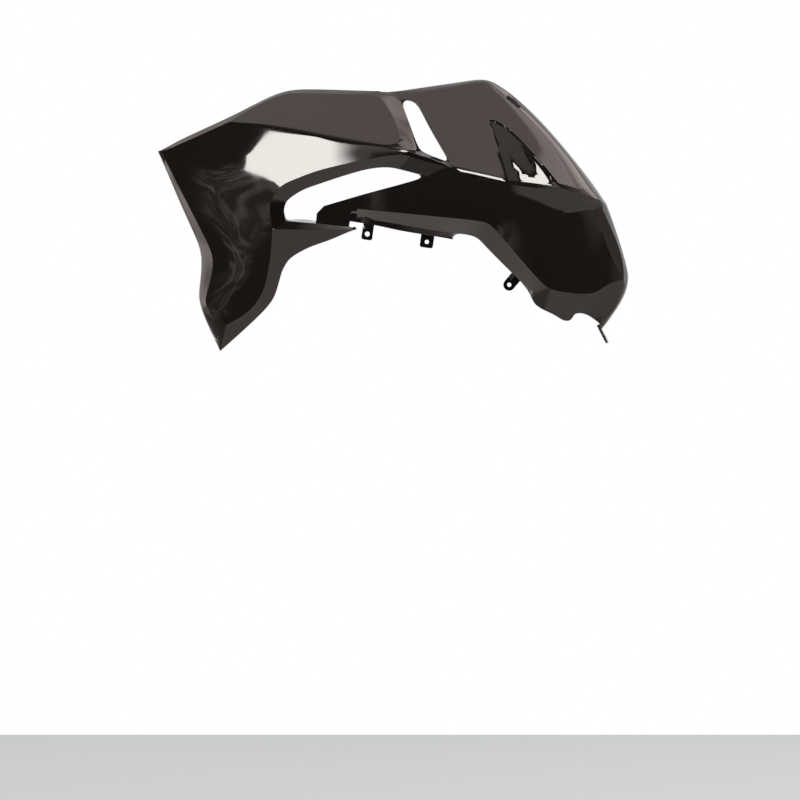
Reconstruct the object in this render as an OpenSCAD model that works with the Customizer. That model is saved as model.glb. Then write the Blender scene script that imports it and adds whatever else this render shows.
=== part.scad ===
// Side cover of a motorcycle fuel tank, left hand, moulded in one piece.
// x runs to the rear, z up, and the outer face looks toward -y.
// The origin is the middle fixing hole of the lower edge.

/* [Cover] */
// Length from the front corner to the rear edge
cover_len = 598; // [560:1:640]
// Height from the tip of the fin to the top edge
cover_high = 347; // [325:1:370]
// How far the wing stands out from the fixing tabs
cover_deep = 92; // [82:1:102]
// Thickness of the moulded wall
wall = 2.8; // [2.4:0.1:3.2]
// Depth of the return flange behind every free edge
flange = 11; // [8:1:14]

/* [Fixing tabs] */
// Thickness of the tabs
tab_thick = 3; // [2.5:0.1:4]
// Width of the front tab
front_tab_w = 14; // [12:0.5:18]
// Hole in the front tab, for a grommet stud
front_hole_d = 6.4; // [5:0.1:7]
// Width of the middle tab
mid_tab_w = 17; // [14:0.5:20]
// Hole in the middle tab, for an M5 screw
mid_hole_d = 5.4; // [4.5:0.1:6.5]
// Width of the rear tab
rear_tab_w = 15; // [12:0.5:18]
// Hole in the rear tab, for an M5 screw
rear_hole_d = 5.4; // [4.5:0.1:6.5]

/* [Upper fixing] */
// Hole through the upper edge, for an M5 screw
upper_hole_d = 5.5; // [4.5:0.1:6.5]
// Width of the sunk seat round the hole
seat_w = 9; // [8:0.5:11]
// Length of the sunk seat along the edge
seat_len = 23; // [20:1:26]

/* [Rear lug] */
// Length of the lug below the rear corner
lug_len = 20; // [16:1:24]
// Width of the lug
lug_w = 16; // [13:1:20]
// Hole in the lug, for an M5 screw
lug_hole_d = 5.4; // [4.5:0.1:6.5]

/* [Hidden] */

// The size that the rows of points below are drawn at
drawn = [598, 92, 347];
grow = [cover_len / drawn[0], cover_deep / drawn[1], cover_high / drawn[2]];

// Middles of the tab holes, [rearward, up], and how far the tabs lean from upright
front_hole_at = [-76, 10];
mid_hole_at = [0, 0];
rear_hole_at = [105, -55];
foot_tilt = 8;
rear_tilt = 40;
// From the middle of a hole to the end of its tab, and up to the root of the tab
tab_end = 7.5;
front_reach = 14.5;
mid_reach = 11;
rear_reach = 15;
tab_corner = 3;
// How far the roots of the front and middle tabs lap the edge of the flange
tab_root = 1;

// From the hole in the lug to its end, its lean and turn, and the radius of its corners
lug_end = 9;
lug_lean = 27;
lug_turn = -8;
lug_corner = 5;
// How far the root of the lug goes into the cover
lug_root = 6;

// Where the sunk seat of the upper fixing lies, [rearward, up, outward], and its turn
seat_place = [110.5, 178, 19.5];
seat_turn = [29, 40, -13];
seat_sink = 2.2;
// Depth of the boss behind the seat, and the wall round the seat
boss_deep = 6;
boss_wall = 2;
boss_top = 1.8;

// Every line of the form is a row of points, each [rearward, up, outward] in mm

// The wing and the fin, from the vent forward, round the front corner and down
wing_edge = [[-62, 191, 40], [-98, 192, 42], [-145, 193, 46], [-182, 190, 52], [-217, 174, 64],
             [-251, 156, 78], [-306, 131, 77], [-341, 113, 73], [-315, 52, 71], [-297, 11, 67],
             [-286, -20, 62], [-289, -60, 59], [-288, -79, 58]];
wing_lip = [[-62, 184, 46], [-98, 186, 50], [-144, 187, 54], [-182, 186, 60], [-215, 171, 72],
            [-250, 150, 88], [-303, 126, 86], [-337, 112, 82], [-306, 52, 83], [-283, 6, 80],
            [-271, -24, 76], [-276, -56, 72], [-281, -83, 67]];
wing_upper = [[-43, 154, 58], [-90, 157, 63], [-138, 163, 69], [-182, 166, 74.5], [-215, 160, 80],
              wing_lip[5]];
shoulder = [[-36, 122, 70.5], [-83, 128, 77], [-135, 137, 83.5], [-180, 145, 86.5], [-215, 148, 88],
            wing_lip[5]];
shoulder_low = [[-34, 116, 71.5], [-83, 121, 78.5], [-135, 130, 85], [-180, 138, 88], [-215, 144, 89],
                wing_lip[5]];
inner = [[-36, 109, 71.5], [-83, 101, 79.5], [-135, 89, 86.5], [-161, 79, 89], [-184, 69, 90],
         [-196, 52, 88.5], [-199, 39, 87], [-197, 27, 85.5], [-196, 14, 83.5], [-198, -19, 79],
         [-202, -39, 76], [-207, -62, 72], [-225, -89, 67], [-255, -107, 65]];
wing_face = [inner[0], [-83, 110, 79], [-135, 109, 86.5], [-171, 108, 90], [-202, 104, 92],
             [-224, 98, 92.5], [-244, 84, 92], [-268, 69, 91], [-251, 34, 88.5], [-240, -5, 85],
             [-236, -32, 81], [-241, -60, 76], [-260, -88, 69]];
slot_upper = [[-50, 93, 60], [-83, 89, 68], [-135, 72, 74], [-157, 64, 77], [-174, 53, 80],
              [-179, 46, 81], [-181, 38, 81], [-180, 32, 80], [-179, 25, 79]];

// The tongue behind the fin, and the lower edge of the fin
tongue_tip = [-89, 15, 50];
tongue_line = [inner[8], [-161, 14, 76], [-141, 14, 70], [-122, 14, 63], [-96, 14, 54], tongue_tip];
tongue_top = [slot_upper[8], [-157, 23, 73], [-141, 22, 68], [-122, 20, 61], [-98, 18, 52], tongue_tip];
fin_tip = [-263, -140, 50];
fin_front = [-277, -109, 52];
fin_edge = [tongue_tip, [-103, 10, 52], [-121, 2, 55], [-138, -4, 58], [-155, -11, 61],
            [-173, -22, 64], [-180, -32, 65], [-185, -42, 64], [-192, -65, 61], [-207, -89, 56], fin_tip];
fin_line = [tongue_tip, tongue_line[4], tongue_line[3], tongue_line[2], tongue_line[1], inner[8],
            inner[9], inner[10], inner[11], inner[12], inner[13]];

// The web that ties the tongue to the beam
ledge_back = [[-178, 27, 56], [-157, 28, 44], [-141, 26, 36], [-122, 24, 34], [-99, 20, 32]];
web_mid = [[-140, 36, 32], [-119, 35, 30], [-97, 32, 28]];
web_top = [[-131, 45, 33], [-113, 44, 33], [-97, 42, 32]];

// The beam below the slot, and the lower edge back to the rear corner
beam_top = [web_top[0], [-114, 50, 35], [-97, 55, 36], [-65, 64, 39], [-34, 72, 46], [1, 82, 56]];
beam_line = [web_top[2], [-65, 39, 33], [-34, 36, 37], [4, 32, 42], [42, 28, 50], [70, 24, 55],
             [85, 16, 56], [112, -15, 53], [144, -51, 47], [159, -61, 44], [177, -65, 41],
             [211, -67, 35], [229, -55, 31], [251, -48, 22]];
beam_low = [[-97, 32, 14], [-65, 27, 15], [-34, 22, 16], [4, 15, 17], [36, 11, 19]];
beam_foot = [[-98, 26, 12], [-65, 21, 12], [-34, 14, 12], [4, 8, 12], [33, 3, 13]];
rear_low = [beam_low[4], [61, 6, 26], [74, -6, 28], [98, -30, 26], [131, -62, 22], [138, -81, 20],
            [161, -92, 17], [173, -100, 12], [184, -100, 12], [189, -92, 15], [204, -93, 14],
            [220, -104, 10]];
rear_mid = [226, -79, 22];

// The rear body: its character line, and the face below it
ridge = [[34, 92, 68], [70, 84, 76], [103, 76, 76], [131, 73, 73], [170, 68, 66], [197, 60, 54],
         [221, 51, 36]];
under_ridge = [[37, 72, 65], [71, 65, 70], [103, 57, 68], [133, 51, 62], [166, 37, 51],
               [194, 39, 43], [212, 40, 34]];
body_mid = [[0, 57, 50], [39, 50, 58], [70, 44, 63], [97, 37, 63], [128, 19, 59], [160, -5, 52],
            [197, -11, 44], [226, 1, 33], [244, -37, 25]];

// The groove below the vent, from the wing to the character line
groove_top = [shoulder_low[0], [-15, 110, 70], [8, 103, 69], ridge[0]];
groove_low = [inner[0], [-15, 104, 69], [8, 98, 68], ridge[0]];
slot_rear = [slot_upper[0], [-29, 89, 58], beam_top[5], beam_top[5]];

// The vent behind the wing
vent_front = [[-34, 180, 36], [-23, 152, 44], [-12, 122, 53], [-4, 113, 57], [11, 106, 61], [29, 99, 65]];
vent_rear = [vent_front[5], [15, 123, 56], [0, 150, 46], [-14, 179, 36], vent_front[0]];

// The upper panel of the rear body, in rows from the character line up
panel_low = [vent_rear[0], [65, 99, 68], [98, 95, 65]];
panel_mid = [vent_rear[1], [57, 121, 57], [91, 116, 55]];
panel_high = [vent_rear[2], [50, 149, 44], [82, 144, 42]];
panel_fold = [vent_rear[3], [42, 178, 30], [70, 179, 26]];
lip_top = [[-29, 186, 33], [17, 194, 27], [52, 201, 20], [75, 203, 15]];
edge_top = [[-46, 190, 32], [4, 198, 19], [44, 204, 11], [75, 207, 7]];

// The three-sided pocket in the upper panel
pocket_peak = [79, 155, 36];
pocket_rear = [ridge[4], [154, 89, 60], [132, 114, 51], [102, 145, 41], pocket_peak, panel_fold[2]];
pocket_high = [panel_high[2], [88, 141, 38], [97, 142, 37], pocket_rear[3]];
pocket_mid = [panel_mid[2], [107, 116, 42], [121, 115, 41], pocket_rear[2]];
pocket_low = [panel_low[2], [117, 92, 44], [142, 90, 43], pocket_rear[1]];
pocket_foot = [ridge[2], [118, 77, 57], [150, 74, 54], ridge[4]];

// The shoulder behind the pocket, and the rear edge all the way down
rear_soft = [ridge[5], [182, 85, 48], [157, 118, 41], [127, 152, 33], [103, 173, 28], [86, 189, 21]];
rear_lip = [ridge[6], [203, 77, 31], [178, 112, 27], [147, 147, 21], [114, 177, 17], [93, 193, 14]];
side_line = [[222, 43, 30], [242, 1, 20], [250, -29, 19], beam_line[13]];
side_low = [[246, -71, 18], [234, -93, 14], rear_low[11]];
edge_rear = [[95, 197, 7], [118, 180, 8], [152, 147, 10], [185, 108, 12], [211, 75, 14], [227, 51, 14],
             [231, 43, 14], [246, 1, 9], [254, -28, 8], [257, -48, 8], [251, -71, 7], [236, -95, 5],
             [222, -113, 4]];

function part_of(row, first, last) = [for (i = [first:last]) row[i]];
function turned(row) = [for (i = [len(row) - 1:-1:0]) row[i]];
function back(row, depth) = [for (p = row) [p[0], p[1], p[2] - depth]];

// A face without the corners that fall on one another
function tidy(face) = [for (i = [0:len(face) - 1]) if (face[i] != face[(i + 1) % len(face)]) face[i]];

// The faces between two rows, with row a on the left of the way they run
function strip(a, b) = [for (i = [0:len(a) - 2]) tidy([a[i], a[i + 1], b[i + 1], b[i]])];

wing_skin = concat(part_of(shoulder_low, 0, 4), part_of(wing_lip, 5, 12));
slot_rim = concat([beam_top[5], slot_rear[1]], slot_upper);
slot_rim_back = concat(back(part_of(slot_rim, 0, len(slot_rim) - 2), flange), [ledge_back[0]]);
vent_rim = concat(vent_front, part_of(vent_rear, 1, 4));
front_rim = concat(wing_edge, [fin_front], turned(fin_edge));
lower_rim = concat(beam_foot, rear_low);
rear_rim = concat([wing_edge[0]], edge_top, edge_rear);

wing_faces = concat(
    strip(wing_lip, wing_edge),
    strip(wing_upper, part_of(wing_lip, 0, 5)),
    strip(shoulder, wing_upper),
    strip(shoulder_low, shoulder),
    strip(wing_face, wing_skin),
    strip(part_of(inner, 0, 12), wing_face),
    [[inner[12], inner[13], wing_face[12]]],
    [[wing_lip[12], wing_face[12], inner[13], fin_tip, fin_front, wing_edge[12]]],
    strip(slot_upper, part_of(inner, 0, 8)),
    strip(tongue_top, tongue_line),
    strip(fin_edge, fin_line),
    strip(ledge_back, part_of(tongue_top, 0, 4)));

beam_faces = concat(
    strip(web_mid, part_of(ledge_back, 2, 4)),
    strip(web_top, web_mid),
    strip(part_of(beam_top, 0, 2), web_top),
    [[web_mid[2], web_top[2], beam_low[0]]],
    [[ledge_back[4], web_mid[2], beam_low[0], beam_foot[0]]],
    strip(part_of(beam_top, 2, 4), part_of(beam_line, 0, 2)),
    [[beam_top[4], beam_top[5], body_mid[0], beam_line[2]]],
    [[beam_line[2], body_mid[0], beam_line[3]]],
    strip(part_of(beam_line, 0, 4), beam_low),
    strip(beam_low, beam_foot));

body_faces = concat(
    strip(part_of(body_mid, 0, 5), part_of(beam_line, 3, 8)),
    [[body_mid[5], body_mid[6], beam_line[10], beam_line[9], beam_line[8]]],
    [[body_mid[6], body_mid[7], beam_line[11], beam_line[10]]],
    [[body_mid[7], body_mid[8], beam_line[12], beam_line[11]]],
    [[body_mid[8], beam_line[13], beam_line[12]]],
    strip(under_ridge, part_of(body_mid, 1, 7)),
    strip(ridge, under_ridge),
    [[beam_top[5], ridge[0], under_ridge[0], body_mid[1], body_mid[0]]],
    strip(part_of(beam_line, 4, 10), part_of(rear_low, 0, 6)),
    [concat([beam_line[10], beam_line[11]], turned(part_of(rear_low, 6, 10)))],
    [[beam_line[11], beam_line[12], rear_mid, rear_low[10]]],
    [[beam_line[12], beam_line[13], side_low[0], rear_mid]],
    [[rear_mid, side_low[0], side_low[1], rear_low[11], rear_low[10]]],
    strip(side_line, [under_ridge[6], body_mid[7], body_mid[8], beam_line[13]]),
    [[ridge[6], side_line[0], under_ridge[6]]]);

panel_faces = concat(
    [[wing_edge[0], edge_top[0], vent_front[0], wing_lip[0]]],
    [[edge_top[0], lip_top[0], panel_fold[0], vent_front[0]]],
    strip(part_of(vent_front, 0, 2), [wing_lip[0], wing_upper[0], shoulder[0]]),
    [[shoulder[0], vent_front[2], vent_front[3], groove_top[1], groove_top[0]]],
    strip(part_of(vent_front, 3, 5), part_of(groove_top, 1, 3)),
    strip(groove_top, groove_low),
    strip(groove_low, slot_rear),
    strip(edge_top, lip_top),
    strip(part_of(lip_top, 0, 2), panel_fold),
    [[lip_top[2], lip_top[3], rear_soft[5], panel_fold[2]]],
    [[lip_top[3], rear_lip[5], rear_soft[5]]],
    strip(panel_low, part_of(ridge, 0, 2)),
    strip(panel_mid, panel_low),
    strip(panel_high, panel_mid),
    [[panel_fold[0], panel_fold[1], panel_high[1], panel_high[0]]],
    [[panel_fold[1], panel_fold[2], pocket_peak, panel_high[2], panel_high[1]]],
    [for (i = [0:2]) [pocket_peak, pocket_high[i + 1], pocket_high[i]]],
    strip(pocket_high, pocket_mid),
    strip(pocket_mid, pocket_low),
    strip(pocket_low, pocket_foot),
    [[pocket_foot[1], pocket_foot[2], ridge[3], ridge[2]]],
    [[pocket_foot[2], ridge[4], ridge[3]]],
    strip(pocket_rear, rear_soft),
    strip(rear_soft, rear_lip),
    strip(concat([edge_top[3]], edge_rear),
          concat([lip_top[3]], turned(rear_lip), side_line, side_low)));

flange_faces = concat(
    strip(front_rim, back(front_rim, flange)),
    strip(lower_rim, back(lower_rim, flange)),
    strip(back(rear_rim, flange), rear_rim),
    strip(back(vent_rim, flange), vent_rim),
    strip(slot_rim_back, slot_rim),
    strip(back(beam_top, flange), beam_top));

// Rows along which the surface keeps a crisp or a slightly rounded fold
crisp_rows = [wing_lip, shoulder, inner, [wing_lip[0], wing_upper[0], shoulder[0]],
              tongue_line, tongue_top, slot_rim, fin_edge, [inner[13], fin_tip],
              [wing_lip[12], wing_face[12], inner[13]], beam_top, beam_line, beam_low, beam_foot,
              web_top, [web_top[2], web_mid[2], ledge_back[4]], groove_top, groove_low, vent_rim,
              rear_low, part_of(ledge_back, 2, 4), [panel_fold[0], panel_fold[1]], side_line,
              [under_ridge[6], body_mid[7], body_mid[8], beam_line[13]],
              [ridge[2], panel_low[2], panel_mid[2], panel_high[2], pocket_peak],
              part_of(pocket_rear, 0, 4)];
soft_rows = [wing_edge, ridge, under_ridge, lip_top, edge_top, edge_rear, side_low, pocket_foot,
             [fin_front, wing_edge[12]]];
// Corners that stay where they are drawn
corners = [wing_edge[7], wing_lip[7], fin_tip, tongue_tip, wing_edge[0], edge_top[0], beam_top[5],
           beam_top[0], web_mid[0], web_mid[2], ledge_back[4], beam_foot[0], beam_foot[4],
           beam_low[4], rear_low[4], edge_rear[12], rear_low[11], vent_front[0], vent_front[5],
           vent_rear[3], slot_upper[8], ledge_back[0]];

// One number for each place, so that equal places are found quickly
function tag(p) = round(p[0] * 2) + 4000 * round(p[1] * 2) + 16000000 * round(p[2] * 2);

all_faces = concat(wing_faces, beam_faces, body_faces, panel_faces, flange_faces);
all_points = [for (f = all_faces) for (p = f) p];
all_tags = [for (p = all_points) tag(p)];
first_use = search(all_tags, all_tags);
used = [for (i = [0:len(first_use) - 1]) if (first_use[i] == i) i];
points = [for (i = used) all_points[i]];
tags = [for (p = points) tag(p)];
function index_of(p) = search(tag(p), tags)[0];
faces = [for (f = all_faces) [for (p = f) index_of(p)]];

step = 100000;
function pair(a, b) = min(a, b) * step + max(a, b);
function folds(rows, strength) =
    [for (row = rows) for (i = [0:len(row) - 2])
        let (a = index_of(row[i]), b = index_of(row[i + 1])) if (a != b) [a, b, strength]];
cage_folds = concat(folds(crisp_rows, 2), folds(soft_rows, 1));
held = [for (p = concat(corners, back(corners, flange))) each search(tag(p), tags)];

function total(list, i = 0) = i == len(list) - 1 ? list[i] : list[i] + total(list, i + 1);
function middle(list) = total(list) / len(list);

// Side numbers of a net of faces: [start, end, face] for each side, and each side's twin
function sides(net) =
    [for (f = [0:len(net) - 1]) for (k = [0:len(net[f]) - 1])
        [net[f][k], net[f][(k + 1) % len(net[f])], f]];
function twins(side) =
    search([for (s = side) s[1] * step + s[0]], [for (s = side) s[0] * step + s[1]]);

// One round of smoothing: every face is cut into four-sided ones, and the folds are kept.
// The answer is [points, faces, folds], with the old points first.
function smooth(at, net, fold) =
    let (
        side = sides(net),
        twin = twins(side),
        fold_tags = [for (f = fold) pair(f[0], f[1])],
        found = search([for (s = side) pair(s[0], s[1])], fold_tags),
        sharp = [for (i = [0:len(side) - 1]) is_list(twin[i]) || !is_list(found[i])],
        centre = [for (f = net) middle([for (i = f) at[i]])],
        ridge_mid = [for (s = side) (at[s[0]] + at[s[1]]) / 2],
        side_point = [for (i = [0:len(side) - 1])
            sharp[i] ? ridge_mid[i]
                     : (2 * ridge_mid[i] + centre[side[i][2]] + centre[side[twin[i]][2]]) / 4],
        leaving = search([for (v = [0:len(at) - 1]) v], [for (s = side) s[0]], 0),
        arriving = search([for (v = [0:len(at) - 1]) v], [for (s = side) s[1]], 0),
        moved = [for (v = [0:len(at) - 1])
            let (
                ends = concat([for (i = leaving[v]) if (sharp[i]) at[side[i][1]]],
                              [for (i = arriving[v]) if (is_list(twin[i])) at[side[i][0]]]),
                n = len(leaving[v]))
            search(v, held) != [] || len(ends) > 2 ? at[v]
                : len(ends) == 2 ? (6 * at[v] + ends[0] + ends[1]) / 8
                : (middle([for (i = leaving[v]) centre[side[i][2]]])
                   + 2 * middle([for (i = leaving[v]) ridge_mid[i]]) + (n - 3) * at[v]) / n],
        own = [for (i = [0:len(side) - 1]) if (is_list(twin[i]) || i < twin[i]) i],
        place = search([for (i = [0:len(side) - 1]) is_list(twin[i]) ? i : min(i, twin[i])], own),
        first_centre = len(at),
        first_side = len(at) + len(net),
        start = [for (f = 0, n = 0; f < len(net); n = n + len(net[f]), f = f + 1) n])
    [concat(moved, centre, [for (i = own) side_point[i]]),
     [for (f = [0:len(net) - 1]) let (m = len(net[f])) for (k = [0:m - 1])
         [net[f][k], first_side + place[start[f] + k], first_centre + f,
          first_side + place[start[f] + (k + m - 1) % m]]],
     [for (i = own) if (is_num(found[i]) && fold[found[i]][2] > 1)
         for (e = [side[i][0], side[i][1]]) [e, first_side + place[i], fold[found[i]][2] - 1]]];

// Points moved against the smoothing, so that the smoothed skin runs through those drawn
pull_back = 1.35;
function drawn_out(at, net, fold) =
    let (once = smooth(at, net, fold)[0])
    [for (v = [0:len(at) - 1]) at[v] + pull_back * (at[v] - once[v])];

function turn_of(at, face) = total([for (k = [0:len(face) - 1])
    cross(at[face[k]] - at[face[0]], at[face[(k + 1) % len(face)]] - at[face[0]])]);
function unit(v) = v / max(norm(v), 0.001);

// Points of the inner skin, one wall behind those of the outer one
least_spread = 0.55;
function sunk(at, net, depth) =
    let (
        facing = [for (f = net) -unit(turn_of(at, f))],
        corner = [for (f = [0:len(net) - 1]) for (i = net[f]) [i, f]],
        near = search([for (v = [0:len(at) - 1]) v], [for (c = corner) c[0]], 0))
    [for (v = [0:len(at) - 1])
        let (
            around = [for (i = near[v]) facing[corner[i][1]]],
            way = unit(total(around)),
            spread = max(least_spread, middle([for (n = around) way * n])))
        at[v] - way * depth / spread];

function placed(p) = [p[0] * grow[0], -p[2] * grow[1], p[1] * grow[2]];
outer_cage = drawn_out([for (p = points) placed(p)], faces, cage_folds);
inner_cage = sunk(outer_cage, faces, wall);
outer_once = smooth(outer_cage, faces, cage_folds);
inner_once = smooth(inner_cage, faces, cage_folds);
outer_skin = smooth(outer_once[0], outer_once[1], outer_once[2]);

module shell() {
    net = outer_once[1];
    side = sides(net);
    twin = twins(side);
    shift = len(outer_skin[0]);
    own = [for (i = [0:len(side) - 1]) if (is_list(twin[i]) || i < twin[i]) i];
    first_side = len(outer_once[0]) + len(net);
    place = search([for (i = [0:len(side) - 1]) i], own);
    rim = [for (i = [0:len(side) - 1]) if (is_list(twin[i]))
        let (a = side[i][0], b = side[i][1], m = first_side + place[i])
        each [[m, a, a + shift], [m, a + shift, b + shift], [m, b + shift, b]]];
    polyhedron(
        points = concat(outer_skin[0], inner_once[0]),
        faces = concat(
            [for (f = outer_skin[1]) each [[f[0], f[1], f[2]], [f[0], f[2], f[3]]]],
            [for (f = inner_once[1])
                each [[f[2] + shift, f[1] + shift, f[0] + shift],
                      [f[3] + shift, f[2] + shift, f[0] + shift]]],
            rim));
}

// A flat tab with its hole at the origin, a root above it and a rounded foot below
module tab_outline(width, drop, reach, hole_d, corner_r) {
    side = width / 2 - corner_r;
    difference() {
        union() {
            translate([-width / 2, corner_r - drop]) square([width, drop - corner_r + reach]);
            translate([-side - 0.01, -drop]) square([2 * side + 0.02, drop]);
            for (x = [-side, side]) translate([x, corner_r - drop]) circle(r = corner_r, $fn = 32);
        }
        circle(d = hole_d, $fn = 48);
    }
}

// A tab that hangs from the lower flange, with its back face at the given distance outward
module hanging_tab(at, outward, tilt, width, drop, reach, hole_d, corner_r) {
    translate([at[0] * grow[0], -outward, at[1] * grow[2]])
        rotate([0, tilt, 0])
            rotate([90, 0, 0])
                linear_extrude(tab_thick) tab_outline(width, drop, reach, hole_d, corner_r);
}

module tabs() {
    foot_out = beam_foot[2][2] * grow[1] - flange - tab_root;
    rear_out = rear_low[4][2] * grow[1] - flange;
    rear_round = rear_tab_w / 2;
    hanging_tab(front_hole_at, foot_out, foot_tilt, front_tab_w, tab_end, front_reach, front_hole_d,
                tab_corner);
    hanging_tab(mid_hole_at, foot_out, foot_tilt, mid_tab_w, tab_end, mid_reach, mid_hole_d,
                tab_corner);
    hanging_tab(rear_hole_at, rear_out, rear_tilt, rear_tab_w, rear_round, rear_reach, rear_hole_d,
                rear_round - 0.1);
}

// The lug below the rear corner, edge on to the side of the cover
module lug() {
    down = lug_len - lug_end;
    corner = placed(edge_rear[12]);
    translate([corner[0] + down * sin(lug_lean) - tab_thick / 2, 0, corner[2] + 1 - down * cos(lug_lean)])
        rotate([0, -lug_lean, lug_turn])
            rotate([90, 0, 90])
                linear_extrude(tab_thick)
                    tab_outline(lug_w, lug_end, down + lug_root, lug_hole_d, lug_corner);
}

module on_seat() {
    translate(placed(seat_place)) rotate(seat_turn) children();
}

// A bar with round ends, lying along x and standing from low to high
module oblong(long, wide, low, high) {
    half = (long - wide) / 2;
    translate([-half, -wide / 2, low]) cube([2 * half, wide, high - low]);
    for (x = [-half, half]) translate([x, 0, low]) cylinder(d = wide, h = high - low, $fn = 40);
}

module side_cover() {
    color("#151515")
        difference() {
            union() {
                shell();
                tabs();
                lug();
                on_seat()
                    oblong(seat_len + 2 * boss_wall, seat_w + 2 * boss_wall, -boss_deep, -boss_top);
            }
            on_seat() oblong(seat_len, seat_w, -seat_sink, seat_w);
            on_seat()
                translate([(seat_w - seat_len) / 2, 0, -boss_deep - 1])
                    cylinder(d = upper_hole_d, h = boss_deep + 2, $fn = 48);
        }
}

side_cover();
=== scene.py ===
from math import radians

import bmesh
import bpy
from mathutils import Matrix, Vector


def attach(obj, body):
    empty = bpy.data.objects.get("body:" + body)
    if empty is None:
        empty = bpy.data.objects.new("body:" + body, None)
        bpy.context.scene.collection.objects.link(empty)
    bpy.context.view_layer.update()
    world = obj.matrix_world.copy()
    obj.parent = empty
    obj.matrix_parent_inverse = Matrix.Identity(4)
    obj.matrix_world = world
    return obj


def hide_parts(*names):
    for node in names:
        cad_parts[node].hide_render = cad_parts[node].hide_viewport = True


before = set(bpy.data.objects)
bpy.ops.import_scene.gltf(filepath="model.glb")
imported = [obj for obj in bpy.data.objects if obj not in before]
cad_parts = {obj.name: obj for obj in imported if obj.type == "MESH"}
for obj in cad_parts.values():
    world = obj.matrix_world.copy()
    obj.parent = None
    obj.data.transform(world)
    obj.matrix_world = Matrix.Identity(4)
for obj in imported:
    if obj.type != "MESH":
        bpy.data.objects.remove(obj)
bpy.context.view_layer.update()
scene = bpy.context.scene

# The cover: one injection moulding of ABS, 2.8 mm thick, with its return flange, three tabs and
# a lug. The facets meet in folds with a small radius, where the mould was rounded and the paint
# flowed, and each fold draws a thin line of light.
MM = 0.001
SAME_POINT = 0.02 * MM
FOLD_ANGLE = radians(14)
FOLD_RADIUS = 1.0 * MM
SHORTEST_SIDE = 1.2 * MM
# The folds in these boxes stay as sharp as the solid has them
CRISP_PLACES = {
    "web": ((-0.145, -0.05, 0.02), (-0.09, 0, 0.05)),
    "vent_head": ((-0.042, -0.06, 0.172), (-0.012, 0, 0.184)),
    "seat": ((0.098, -0.035, 0.163), (0.124, 0, 0.193)),
    "ridge": ((0.034, -0.085, 0.069), (0.106, -0.06, 0.097)),
}
FLAT_ANGLE = radians(12)
SQUARE_ANGLE = radians(40)
EDGE_ANGLE = radians(32)


def between(lows, place, highs):
    """Whether a place lies inside the box from lows to highs."""
    return all(low < at < high for low, at, high in zip(lows, place, highs))


bpy.ops.object.select_all(action="DESELECT")
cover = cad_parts["side_cover"].copy()
cover.data = cover.data.copy()
cover.name = "moulded_cover"
cover.parent = None
for key in list(cover.keys()):
    del cover[key]
scene.collection.objects.link(cover)
bpy.context.view_layer.objects.active = cover
cover.select_set(True)
bpy.ops.object.mode_set(mode="EDIT")
bpy.ops.mesh.select_all(action="SELECT")
bpy.ops.mesh.remove_doubles(threshold=SAME_POINT)
bpy.ops.mesh.tris_convert_to_quads(face_threshold=FLAT_ANGLE, shape_threshold=SQUARE_ANGLE)
bpy.ops.object.mode_set(mode="OBJECT")

skin = bmesh.new()
skin.from_mesh(cover.data)
rounding = skin.edges.layers.float.new("bevel_weight_edge")
for side in skin.edges:
    roomy = all(e.calc_length() > SHORTEST_SIDE for v in side.verts for e in v.link_edges)
    middle = (side.verts[0].co + side.verts[1].co) / 2
    crisp = any(between(lows, middle, highs) for lows, highs in CRISP_PLACES.values())
    folded = len(side.link_faces) == 2 and side.calc_face_angle(0) > FOLD_ANGLE
    if roomy and folded and not crisp:
        side[rounding] = 1
skin.to_mesh(cover.data)
skin.free()

fold = cover.modifiers.new("fold_radius", "BEVEL")
fold.limit_method = "WEIGHT"
fold.width = FOLD_RADIUS
fold.segments = 3
fold.use_clamp_overlap = True
bpy.ops.object.modifier_apply(modifier=fold.name)
bpy.ops.object.shade_smooth_by_angle(angle=EDGE_ANGLE)
facets = cover.modifiers.new("flat_facets", "WEIGHTED_NORMAL")
facets.mode = "FACE_AREA"
facets.weight = 60
facets.keep_sharp = True
bpy.ops.object.modifier_apply(modifier=facets.name)

# The pocket in the upper panel, moulded in: its rim drops into shade, its floor is nearly flat,
# and its foot turns up and gleams, like the rounded ridge below. The seat and the beam's front end
# lie in shade. Only shading normals say this, so the surface stays in its place.
POCKET_RIM = [(0.079, 0.155), (0.102, 0.145), (0.132, 0.114), (0.154, 0.089), (0.163, 0.068),
              (0.102, 0.075)]
RIM_WIDTH = 1.2 * MM
TOWARD_FACE = 0.2
SHADE_FACING = Vector((0.37, -0.93, 0.0))
FLOOR_FACING = Vector((0.24, -0.94, 0.225))
GLEAM_FACING = Vector((0.03, -0.99, 0.08))
# The gleam's sides: where each lies at the height of its tips, and how far it leans below them
GLEAM_TIP = 0.1016
GLEAM_LEFT = (0.109, 0.473)
GLEAM_RIGHT = (0.136, 0.676)
GLEAM_SPREAD = 1.1
GLEAM_HEIGHT = 0.080
GLEAM_RISE = 0.021
GLEAM_BLEND = 0.006
RIDGE = [(0.033, 0.0922), (0.070, 0.084), (0.101, 0.0765)]
RIDGE_WIDTH = 1.4 * MM
RIDGE_FRONT = -0.06
PANEL_FRONT = -0.03
WEB_FACING = -0.5
SEAT_MIDDLE = Vector((0.1105, -0.0195, 0.178))
SEAT_SPANS = {
    "deep": (Vector((0.4387, -0.5989, 0.67)), -2.6 * MM, -0.3 * MM),
    "long": (Vector((0.7464, -0.1723, -0.6428)), -11.6 * MM, 11.6 * MM),
    "wide": (Vector((0.5004, 0.7821, 0.3714)), -4.7 * MM, 4.7 * MM),
}


def in_seat(face):
    """Whether a face lies in the sunk seat of the upper fixing."""
    away = face.center - SEAT_MIDDLE
    return all(low < away.dot(axis) < high for axis, low, high in SEAT_SPANS.values())


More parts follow.
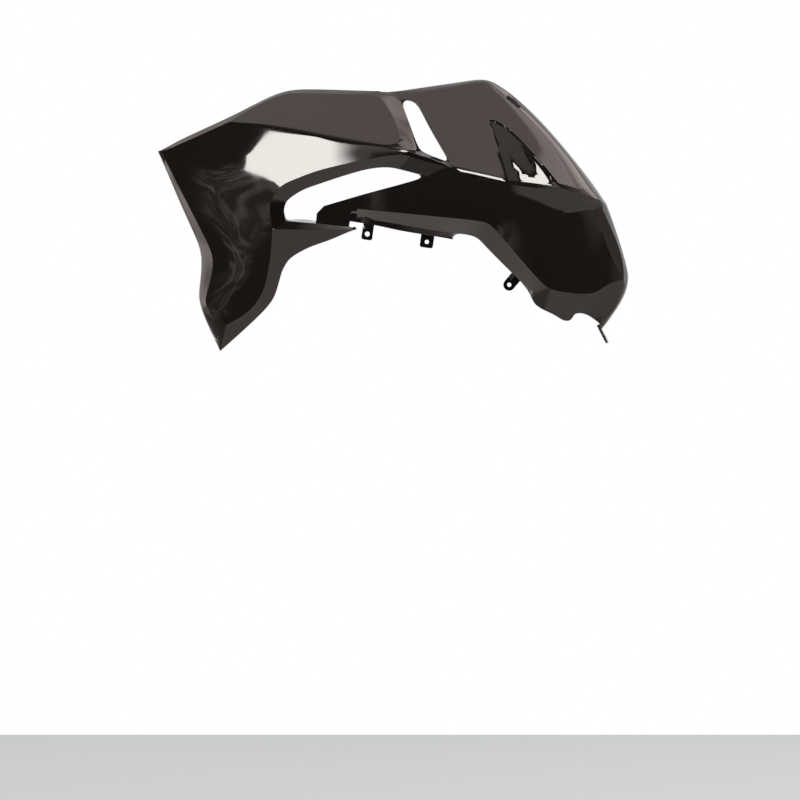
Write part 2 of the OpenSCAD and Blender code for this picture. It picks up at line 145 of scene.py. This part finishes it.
def inside_rim(spot):
    """How far a place lies inside the pocket's rim, seen from the side of the motorcycle."""
    place = Vector((spot.x, spot.z))
    sides = zip(POCKET_RIM, POCKET_RIM[1:] + POCKET_RIM[:1])
    return min((Vector(b) - Vector(a)).normalized().cross(Vector(a) - place) for a, b in sides)


def floor_facing(spot):
    """Which way the pocket's floor faces: up a little, or at its foot straight out."""
    left = GLEAM_LEFT[0] + GLEAM_LEFT[1] * (GLEAM_TIP - spot.z)
    right = GLEAM_RIGHT[0] + GLEAM_RIGHT[1] * (GLEAM_TIP - spot.z)
    across = 2 * (spot.x - left) / (right - left) - 1
    top = GLEAM_HEIGHT + GLEAM_RISE * across ** 2 if abs(across) < GLEAM_SPREAD else 0
    up = min(max((spot.z - top) / GLEAM_BLEND, 0), 1)
    return GLEAM_FACING.lerp(FLOOR_FACING, up).normalized()


def on_ridge(spot):
    """Whether a place lies on the ridge line under the upper panel."""
    for start, end in zip(RIDGE, RIDGE[1:]):
        if start[0] < spot.x < end[0] and spot.y < RIDGE_FRONT:
            share = (spot.x - start[0]) / (end[0] - start[0])
            return abs(spot.z - start[1] - (end[1] - start[1]) * share) < RIDGE_WIDTH
    return False


facing = [Vector(corner.vector) for corner in cover.data.corner_normals]
web_low, web_high = CRISP_PLACES["web"]
for face in cover.data.polygons:
    on_web = between(web_low, face.center, web_high)
    if (on_web and face.normal.y < WEB_FACING) or in_seat(face):
        for corner in face.loop_indices:
            facing[corner] = SHADE_FACING.normalized()
    if on_web or face.normal.y > 0 or face.center.y > PANEL_FRONT:
        continue
    for corner in face.loop_indices:
        spot = cover.data.vertices[cover.data.loops[corner].vertex_index].co
        inside = inside_rim(spot.lerp(face.center, TOWARD_FACE))
        if on_ridge(spot):
            facing[corner] = GLEAM_FACING.normalized()
        elif inside > RIM_WIDTH:
            facing[corner] = floor_facing(spot)
        elif inside > 0:
            facing[corner] = SHADE_FACING.normalized()
cover.data.normals_split_custom_set(facing)


# Gloss black paint on ABS: sprayed and lacquered, so nearly mirror-like, with a faint orange peel
# that makes reflections swim a little, and a few dust nibs under the lacquer. The black is warm
# and very deep.
def linear(code):
    """The linear colour of an sRGB hex value such as "1a1816"."""
    parts = [int(code[i:i + 2], 16) / 255 for i in (0, 2, 4)]
    return [p / 12.92 if p <= 0.04045 else ((p + 0.055) / 1.055) ** 2.4 for p in parts] + [1]


def add(tree, kind, settings=None, links=None):
    """A node with its settings, and links into its sockets from other nodes' outputs."""
    node = tree.nodes.new(kind)
    for name, value in (settings or {}).items():
        if isinstance(name, int) or name in node.inputs:
            node.inputs[name].default_value = value
        else:
            setattr(node, name, value)
    for name, source in (links or {}).items():
        tree.links.new(source, node.inputs[name])
    return node


def new_material(name):
    """An empty material, ready for its nodes."""
    material = bpy.data.materials.new(name)
    material.use_nodes = True
    material.node_tree.nodes.clear()
    return material


ORANGE_PEEL_MM = 3.5
HAZE_MM = 45
NIB_SPACING_MM = 30
NIB_MM = 0.6
SMOOTHEST = 0.03
ROUGHEST = 0.07
gloss_black = new_material("gloss_black_painted_ABS")
tree = gloss_black.node_tree
place = add(tree, "ShaderNodeTexCoord")
peel = add(tree, "ShaderNodeTexNoise", {"Scale": 1000 / ORANGE_PEEL_MM, "Detail": 1.0},
           {"Vector": place.outputs["Object"]})
peel_bump = add(tree, "ShaderNodeBump", {"Strength": 0.05, "Distance": 0.02 * MM},
                {"Height": peel.outputs["Fac"]})
haze = add(tree, "ShaderNodeTexNoise", {"Scale": 1000 / HAZE_MM, "Detail": 3.0},
           {"Vector": place.outputs["Object"]})
polish = add(tree, "ShaderNodeMapRange",
             {"From Min": 0.35, "From Max": 0.7, "To Min": SMOOTHEST, "To Max": ROUGHEST},
             {"Value": haze.outputs["Fac"]})
dust = add(tree, "ShaderNodeTexVoronoi", {"Scale": 1000 / NIB_SPACING_MM},
           {"Vector": place.outputs["Object"]})
nib = add(tree, "ShaderNodeMapRange",
          {"From Min": 0.0, "From Max": NIB_MM / NIB_SPACING_MM, "To Min": 1.0, "To Max": 0.0},
          {"Value": dust.outputs["Distance"]})
black = add(tree, "ShaderNodeMix",
            {"data_type": "RGBA", 6: linear("100d0c"), 7: linear("6a6460")},
            {0: nib.outputs["Result"]})
paint = add(tree, "ShaderNodeBsdfPrincipled", {"IOR": 1.54},
            {"Base Color": black.outputs[2], "Roughness": polish.outputs["Result"],
             "Normal": peel_bump.outputs["Normal"]})
add(tree, "ShaderNodeOutputMaterial", None, {"Surface": paint.outputs["BSDF"]})

# Bare ABS on the inner side: straight from the mould, with a fine spark-eroded grain, so satin.
GRAIN_MM = 0.9
raw_black = new_material("bare_moulded_ABS")
tree = raw_black.node_tree
place = add(tree, "ShaderNodeTexCoord")
grain = add(tree, "ShaderNodeTexNoise", {"Scale": 1000 / GRAIN_MM, "Detail": 2.0},
            {"Vector": place.outputs["Object"]})
grain_bump = add(tree, "ShaderNodeBump", {"Strength": 0.25, "Distance": 0.05 * MM},
                 {"Height": grain.outputs["Fac"]})
plastic = add(tree, "ShaderNodeBsdfPrincipled",
              {"Base Color": linear("171616"), "Roughness": 0.42, "IOR": 1.53},
              {"Normal": grain_bump.outputs["Normal"]})
add(tree, "ShaderNodeOutputMaterial", None, {"Surface": plastic.outputs["BSDF"]})

# Paint reaches the outer faces and the flange's edge. The faces that look at the tank stay bare,
# and so does the seat, which is masked for the head of its screw.
INNER_FACING = 0.25
cover.data.materials.clear()
cover.data.materials.append(gloss_black)
cover.data.materials.append(raw_black)
for face in cover.data.polygons:
    face.material_index = 1 if face.normal.y > INNER_FACING or in_seat(face) else 0
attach(cover, "root")
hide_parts("side_cover")

# The camera looks square at the motorcycle's side from far off, so the cover shows almost without
# perspective, and it hangs high in the frame.
PIXEL_MM = 1.27
FRAME_PX = 800
ORIGIN_PX = (427, 241)
LENS_MM = 300
SENSOR_MM = 36
MIDDLE_DEPTH = 0.05
SEEN_TO = 40
frame_width = FRAME_PX * PIXEL_MM * MM
distance = frame_width * LENS_MM / SENSOR_MM
aim_x = (FRAME_PX / 2 - ORIGIN_PX[0]) * PIXEL_MM * MM
aim_z = (ORIGIN_PX[1] - FRAME_PX / 2) * PIXEL_MM * MM
camera_data = bpy.data.cameras.new("camera")
camera_data.lens = LENS_MM
camera_data.sensor_width = SENSOR_MM
camera_data.clip_end = SEEN_TO
camera = bpy.data.objects.new("camera", camera_data)
camera.location = (aim_x, -distance - MIDDLE_DEPTH, aim_z)
camera.rotation_euler = (radians(90), 0, 0)
scene.collection.objects.link(camera)
scene.camera = camera

# The softbox: a cloth front on eight rods, level with the cover and a little to the right of the
# camera. It dims toward its right side, where its lamp sits further off.
BOX_DISTANCE = 2.6
BOX_CORNERS = [(-0.01, 0.83), (-0.40, 0.36), (-0.36, 0.09), (-0.13, -0.20), (0.42, -0.36),
               (0.72, -0.05), (0.74, 0.60), (0.42, 0.88)]
BOX_LEVEL = 18.5
BOX_DIM_LEVEL = 0.8
BOX_FADE = (0.52, 0.67)
lit_cloth = new_material("lit_cloth")
tree = lit_cloth.node_tree
place = add(tree, "ShaderNodeTexCoord")
across = add(tree, "ShaderNodeSeparateXYZ", None, {"Vector": place.outputs["Object"]})
level = add(tree, "ShaderNodeMapRange",
            {"interpolation_type": "SMOOTHSTEP", "From Min": BOX_FADE[0],
             "From Max": BOX_FADE[1], "To Min": BOX_LEVEL, "To Max": BOX_DIM_LEVEL},
            {"Value": across.outputs["X"]})
glow = add(tree, "ShaderNodeEmission", {"Color": linear("fffaf4")},
           {"Strength": level.outputs["Result"]})
add(tree, "ShaderNodeOutputMaterial", None, {"Surface": glow.outputs["Emission"]})
front = bpy.data.meshes.new("softbox")
front.from_pydata([(x, -BOX_DISTANCE, z) for x, z in BOX_CORNERS], [], [range(len(BOX_CORNERS))])
front.materials.append(lit_cloth)
softbox = bpy.data.objects.new("softbox", front)
scene.collection.objects.link(softbox)
softbox.visible_camera = False

# The flag: a black card on a stand before the tabs. The tabs face the camera squarely, and the
# card keeps the softbox out of them.
FLAG_DISTANCE = 0.42
FLAG_LOW = (-0.105, -0.085)
FLAG_HIGH = (0.145, 0.036)
bpy.ops.object.select_all(action="DESELECT")
bpy.ops.mesh.primitive_plane_add(
    size=1, rotation=(radians(90), 0, 0),
    location=((FLAG_LOW[0] + FLAG_HIGH[0]) / 2, -FLAG_DISTANCE, (FLAG_LOW[1] + FLAG_HIGH[1]) / 2))
flag = bpy.context.object
flag.name = "flag"
flag.scale = (FLAG_HIGH[0] - FLAG_LOW[0], FLAG_HIGH[1] - FLAG_LOW[1], 1)
bpy.ops.object.transform_apply(location=True, rotation=True, scale=True)
black_card = new_material("black_card")
tree = black_card.node_tree
card = add(tree, "ShaderNodeBsdfDiffuse", {"Color": linear("181716")})
add(tree, "ShaderNodeOutputMaterial", None, {"Surface": card.outputs["BSDF"]})
flag.data.materials.append(black_card)
flag.visible_camera = False

# The tent: a cloth dome round the cover, open at the back. It is black round the camera, with
# creases that catch light, and lit overhead, at both sides and low. Each lit part has the
# direction of its middle, how near to it the light begins and is full, and how bright it is.
TENT_RADIUS = 3.2
TENT_DARK = 0.08
CREASE_SCALE = 6.0
CREASE_SQUEEZE = (1, 1, 3.2)
CREASE_MIDDLE = (-0.162, -0.973, -0.162)
CREASE_REACH = (0.95, 0.985)
CREASE_LEVEL = (0.1, 0.95)
TENT_LIT = {
    "ceiling": ((0.1, 0, 0.995), 0.34, 0.68, 1.5),
    "right": ((1, 0, 0), 0.62, 0.84, 0.45),
    "left": ((-1, 0, 0), 0.62, 0.78, 0.45),
    "right_low": ((0.6, 0, -0.8), 0.57, 0.67, 0.85),
    "left_low": ((-0.5, 0, -0.866), 0.74, 0.84, 0.45),
    "back": ((0, 1, 0), -0.12, 0.12, 0.9),
    "right_strip": ((0.62, 0.5, 0.6), 0.8, 0.98, 3.4),
    "right_soft": ((0.6, -0.15, 0.785), 0.93, 0.99, 3.0),
    "left_strip": ((-0.969, 0.206, -0.139), 0.92, 0.985, 2.6),
}
bpy.ops.object.select_all(action="DESELECT")
bpy.ops.mesh.primitive_uv_sphere_add(segments=64, ring_count=32, radius=TENT_RADIUS)
tent = bpy.context.object
tent.name = "tent"
bpy.ops.object.mode_set(mode="EDIT")
bpy.ops.mesh.select_all(action="SELECT")
bpy.ops.mesh.bisect(plane_co=(0, TENT_RADIUS / 2, 0), plane_no=(0, 1, 0), clear_outer=True)
bpy.ops.object.mode_set(mode="OBJECT")
tent_cloth = new_material("tent_cloth")
tree = tent_cloth.node_tree
place = add(tree, "ShaderNodeTexCoord")
way = add(tree, "ShaderNodeVectorMath", {"operation": "NORMALIZE"}, {0: place.outputs["Object"]})
squeezed = add(tree, "ShaderNodeVectorMath", {"operation": "MULTIPLY", 1: CREASE_SQUEEZE},
               {0: way.outputs["Vector"]})
creases = add(tree, "ShaderNodeTexNoise",
              {"Scale": CREASE_SCALE, "Detail": 4.0, "Distortion": 1.6},
              {"Vector": squeezed.outputs["Vector"]})
crease_light = add(tree, "ShaderNodeMapRange",
                   {"interpolation_type": "SMOOTHSTEP", "From Min": 0.42, "From Max": 0.7,
                    "To Min": CREASE_LEVEL[0], "To Max": CREASE_LEVEL[1]},
                   {"Value": creases.outputs["Fac"]})
toward = add(tree, "ShaderNodeVectorMath", {"operation": "DOT_PRODUCT", 1: CREASE_MIDDLE},
             {0: way.outputs["Vector"]})
creased = add(tree, "ShaderNodeMapRange",
              {"interpolation_type": "SMOOTHSTEP", "From Min": CREASE_REACH[0],
               "From Max": CREASE_REACH[1]}, {"Value": toward.outputs["Value"]})
cloth = add(tree, "ShaderNodeMath", {"operation": "MULTIPLY_ADD", 2: TENT_DARK},
            {0: crease_light.outputs["Result"], 1: creased.outputs["Result"]})
for direction, start, end, top in TENT_LIT.values():
    toward = add(tree, "ShaderNodeVectorMath", {"operation": "DOT_PRODUCT", 1: direction},
                 {0: way.outputs["Vector"]})
    lit = add(tree, "ShaderNodeMapRange",
              {"interpolation_type": "SMOOTHSTEP", "From Min": start, "From Max": end,
               "To Max": top}, {"Value": toward.outputs["Value"]})
    cloth = add(tree, "ShaderNodeMath", {"operation": "MAXIMUM"},
                {0: cloth.outputs["Value"], 1: lit.outputs["Result"]})
glow = add(tree, "ShaderNodeEmission", {"Color": linear("ffeee8")},
           {"Strength": cloth.outputs["Value"]})
add(tree, "ShaderNodeOutputMaterial", None, {"Surface": glow.outputs["Emission"]})
tent.data.materials.append(tent_cloth)
tent.visible_camera = False

# The backdrop and floor: white all round behind the cover, and a pale sheet of paper about 0.6 m
# below it. The far end of the sheet shows as a grey strip at the foot of the front view.
FLOOR_SIDE = 4
FLOOR_GAP = 0.02
world = bpy.data.worlds.new("backdrop")
world.use_nodes = True
scene.world = world
tree = world.node_tree
tree.nodes.clear()
white = add(tree, "ShaderNodeBackground", {"Color": linear("ffffff"), "Strength": 1.0})
add(tree, "ShaderNodeOutputWorld", None, {"Surface": white.outputs["Background"]})

bpy.ops.object.select_all(action="DESELECT")
floor_height = aim_z - frame_width / 2 - FLOOR_GAP
bpy.ops.mesh.primitive_plane_add(size=FLOOR_SIDE, location=(0, 0, floor_height))
floor = bpy.context.object
floor.name = "floor"
bpy.ops.object.transform_apply(location=True)
floor.visible_glossy = False
pale = new_material("pale_paper")
tree = pale.node_tree
paper = add(tree, "ShaderNodeBsdfPrincipled", {"Base Color": linear("b2bbbf"), "Roughness": 0.9})
add(tree, "ShaderNodeOutputMaterial", None, {"Surface": paper.outputs["BSDF"]})
floor.data.materials.append(pale)

scene.view_settings.view_transform = "Standard"
